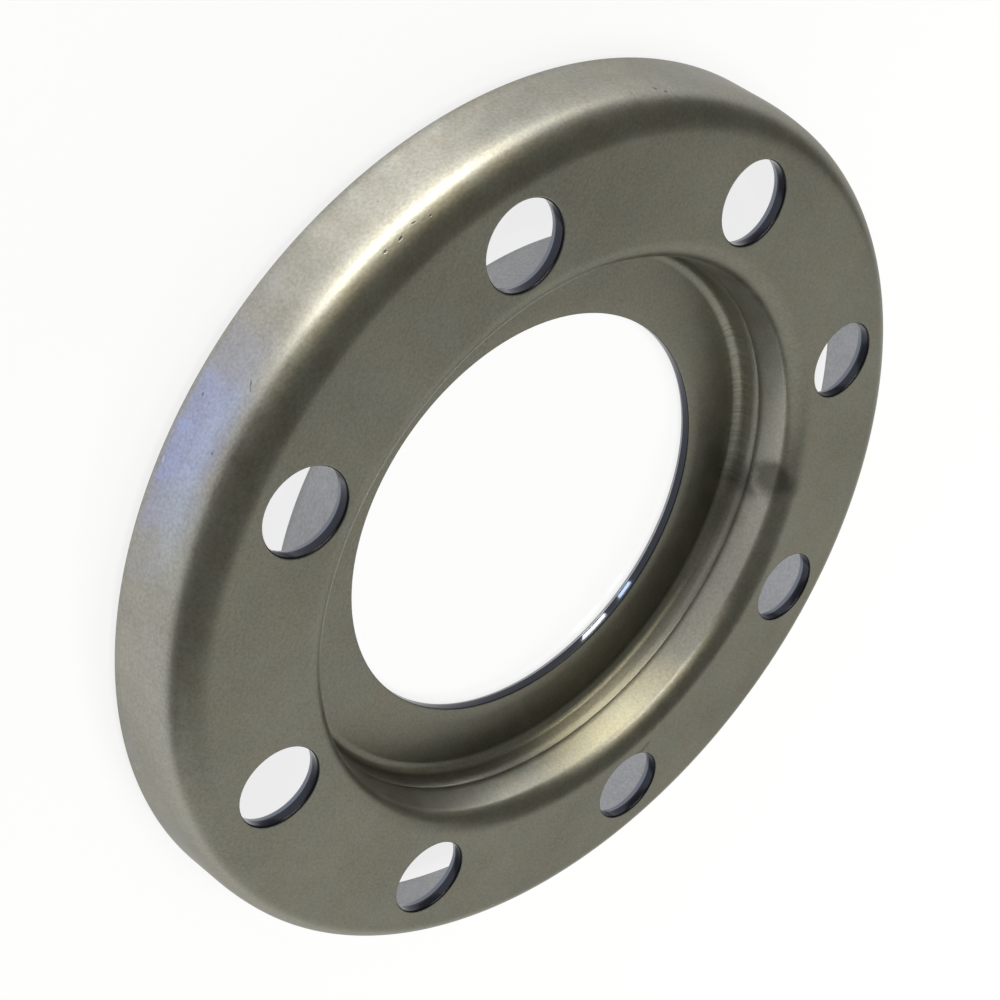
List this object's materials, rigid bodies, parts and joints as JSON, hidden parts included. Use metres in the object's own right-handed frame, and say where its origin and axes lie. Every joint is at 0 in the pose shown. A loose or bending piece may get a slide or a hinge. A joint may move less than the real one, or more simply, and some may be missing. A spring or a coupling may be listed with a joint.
{
  "type": "loose flange",
  "caption": "Pressed sheet loose flange: flat bolt face with punched holes, turned-back skirt, and a pressed recess with an inner ring round the bore.",
  "frame": {"origin": "centre of the bore, in the plane of the inner ring's rear face, which the flange lies on", "axes": "+Z along the bore's axis and out of the bolt face, +X through the centre of one bolt hole"},
  "size_m": [0.2, 0.2, 0.0205],
  "materials": {
    "stainless_sheet": "matt pickled and bead-blasted stainless steel, hole walls bright"
  },
  "bodies": {
    "root": {"pressed_flange": "stainless_sheet"}
  },
  "joints": []
}
